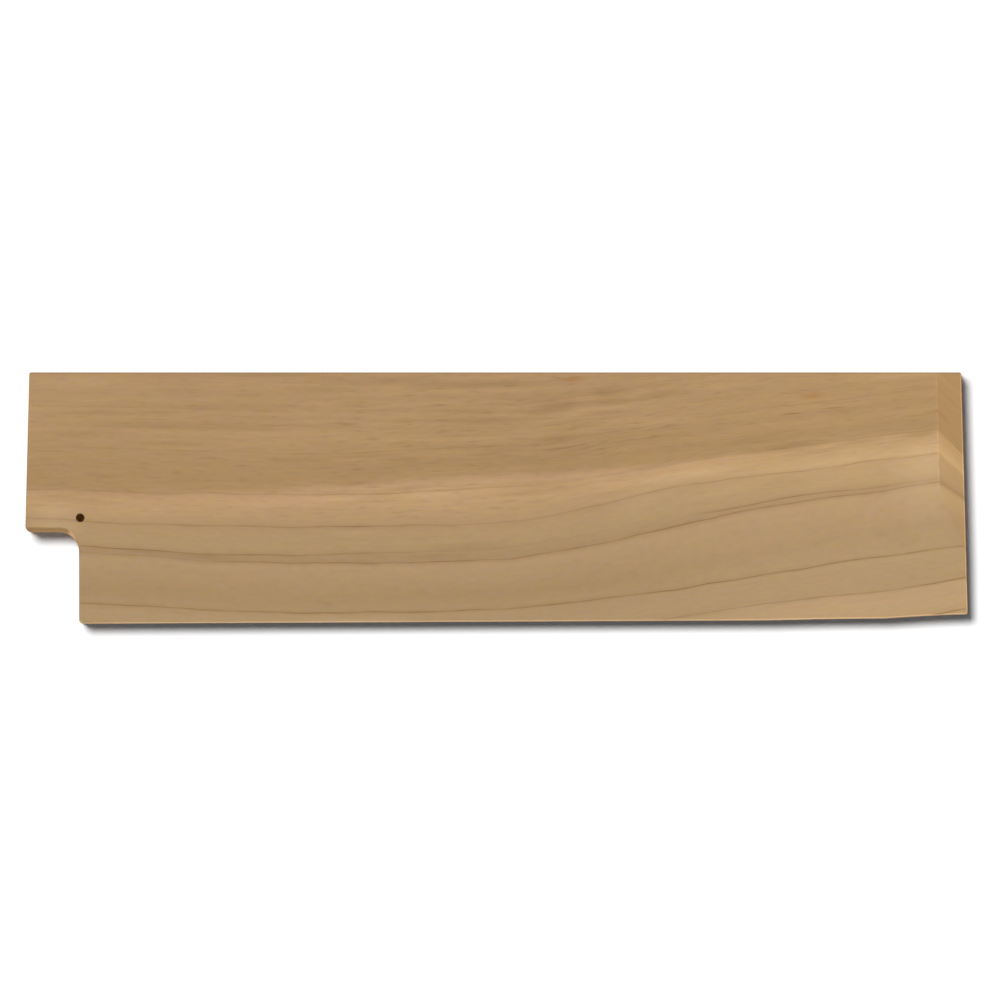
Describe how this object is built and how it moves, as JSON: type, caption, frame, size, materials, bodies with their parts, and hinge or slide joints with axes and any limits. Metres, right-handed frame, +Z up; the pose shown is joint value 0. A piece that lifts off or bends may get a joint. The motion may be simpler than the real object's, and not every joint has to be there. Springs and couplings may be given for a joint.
{
  "type": "knife blade guard",
  "caption": "Wooden sheath for a straight-edged vegetable knife: carved halves glued at a seam, an open collar over the neck and a tapered locking peg.",
  "frame": {"origin": "on the table, under the middle of the sheath's outline as it lies on its back board", "axes": "+X from the mouth to the tip, +Y from the cutting edge side to the spine side, +Z up through the thickness from the back board to the front board"},
  "size_m": [0.2068, 0.0552, 0.0152],
  "materials": {
    "board": "bare magnolia, planed and fine sanded, satin",
    "pin": "smoked bamboo, split and scraped, satin"
  },
  "bodies": {
    "sheath": {"front_half": "board", "back_half": "board"},
    "pin": {"locking_pin": "pin"}
  },
  "joints": [
    {"name": "pin_pull", "type": "slide", "parent": "sheath", "child": "pin", "axis": [0, 0, 1], "range_m": [0, 0.018]}
  ]
}
